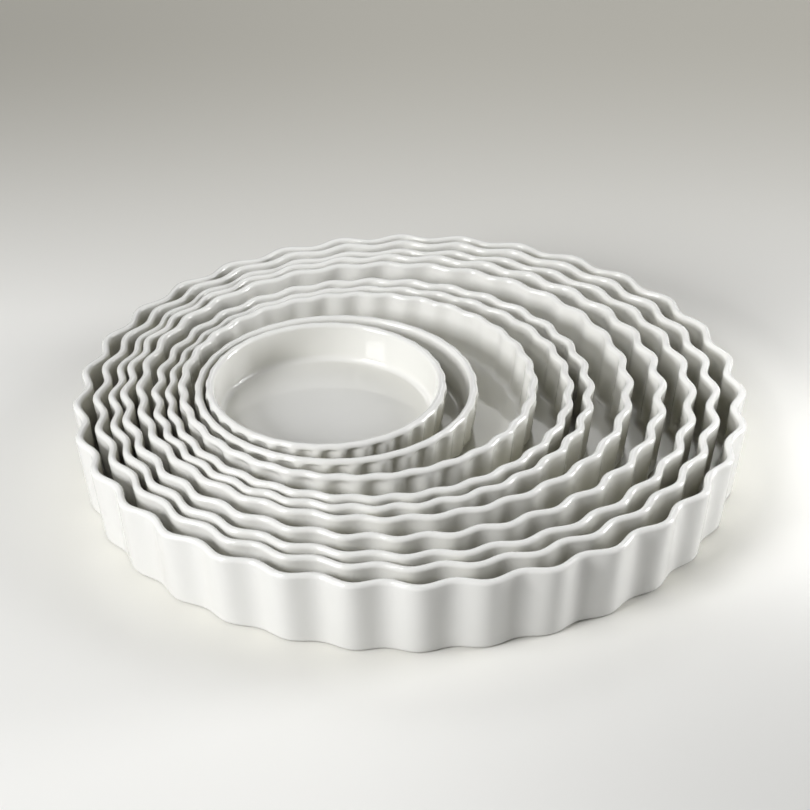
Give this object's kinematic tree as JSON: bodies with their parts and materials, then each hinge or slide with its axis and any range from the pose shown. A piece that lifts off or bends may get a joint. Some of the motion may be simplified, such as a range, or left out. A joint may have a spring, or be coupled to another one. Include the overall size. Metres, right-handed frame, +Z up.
{
  "type": "nest of fluted quiche dishes",
  "caption": "Round porcelain quiche dishes with fluted upright walls and flat floors, one standing in another as a nest, each free to be lifted out.",
  "frame": {"origin": "centre of the largest dish's foot, on the table", "axes": "+Z up; -Y towards the viewer; the smaller dishes have slid towards -X and -Y"},
  "size_m": [0.3416, 0.3414, 0.0545],
  "materials": {
    "glazed_porcelain": "glossy"
  },
  "bodies": {
    "dish_34cm": {"quiche_dish_34cm": "glazed_porcelain"},
    "dish_32cm": {"quiche_dish_32cm": "glazed_porcelain"},
    "dish_30cm": {"quiche_dish_30cm": "glazed_porcelain"},
    "dish_28cm": {"quiche_dish_28cm": "glazed_porcelain"},
    "dish_25cm": {"quiche_dish_25cm": "glazed_porcelain"},
    "dish_23cm": {"quiche_dish_23cm": "glazed_porcelain"},
    "dish_21cm": {"quiche_dish_21cm": "glazed_porcelain"},
    "dish_18cm": {"quiche_dish_18cm": "glazed_porcelain"},
    "dish_14cm": {"quiche_dish_14cm": "glazed_porcelain"},
    "dish_12cm": {"quiche_dish_12cm": "glazed_porcelain"}
  },
  "joints": [
    {"name": "lift_32cm", "type": "slide", "parent": "dish_34cm", "child": "dish_32cm", "axis": [0, 0, 1], "range_m": [0, 0.0485]},
    {"name": "lift_30cm", "type": "slide", "parent": "dish_32cm", "child": "dish_30cm", "axis": [0, 0, 1], "range_m": [0, 0.047]},
    {"name": "lift_28cm", "type": "slide", "parent": "dish_30cm", "child": "dish_28cm", "axis": [0, 0, 1], "range_m": [0, 0.045]},
    {"name": "lift_25cm", "type": "slide", "parent": "dish_28cm", "child": "dish_25cm", "axis": [0, 0, 1], "range_m": [0, 0.0435]},
    {"name": "lift_23cm", "type": "slide", "parent": "dish_25cm", "child": "dish_23cm", "axis": [0, 0, 1], "range_m": [0, 0.041]},
    {"name": "lift_21cm", "type": "slide", "parent": "dish_23cm", "child": "dish_21cm", "axis": [0, 0, 1], "range_m": [0, 0.038]},
    {"name": "lift_18cm", "type": "slide", "parent": "dish_21cm", "child": "dish_18cm", "axis": [0, 0, 1], "range_m": [0, 0.0355]},
    {"name": "lift_14cm", "type": "slide", "parent": "dish_18cm", "child": "dish_14cm", "axis": [0, 0, 1], "range_m": [0, 0.035]},
    {"name": "lift_12cm", "type": "slide", "parent": "dish_14cm", "child": "dish_12cm", "axis": [0, 0, 1], "range_m": [0, 0.0315]}
  ]
}
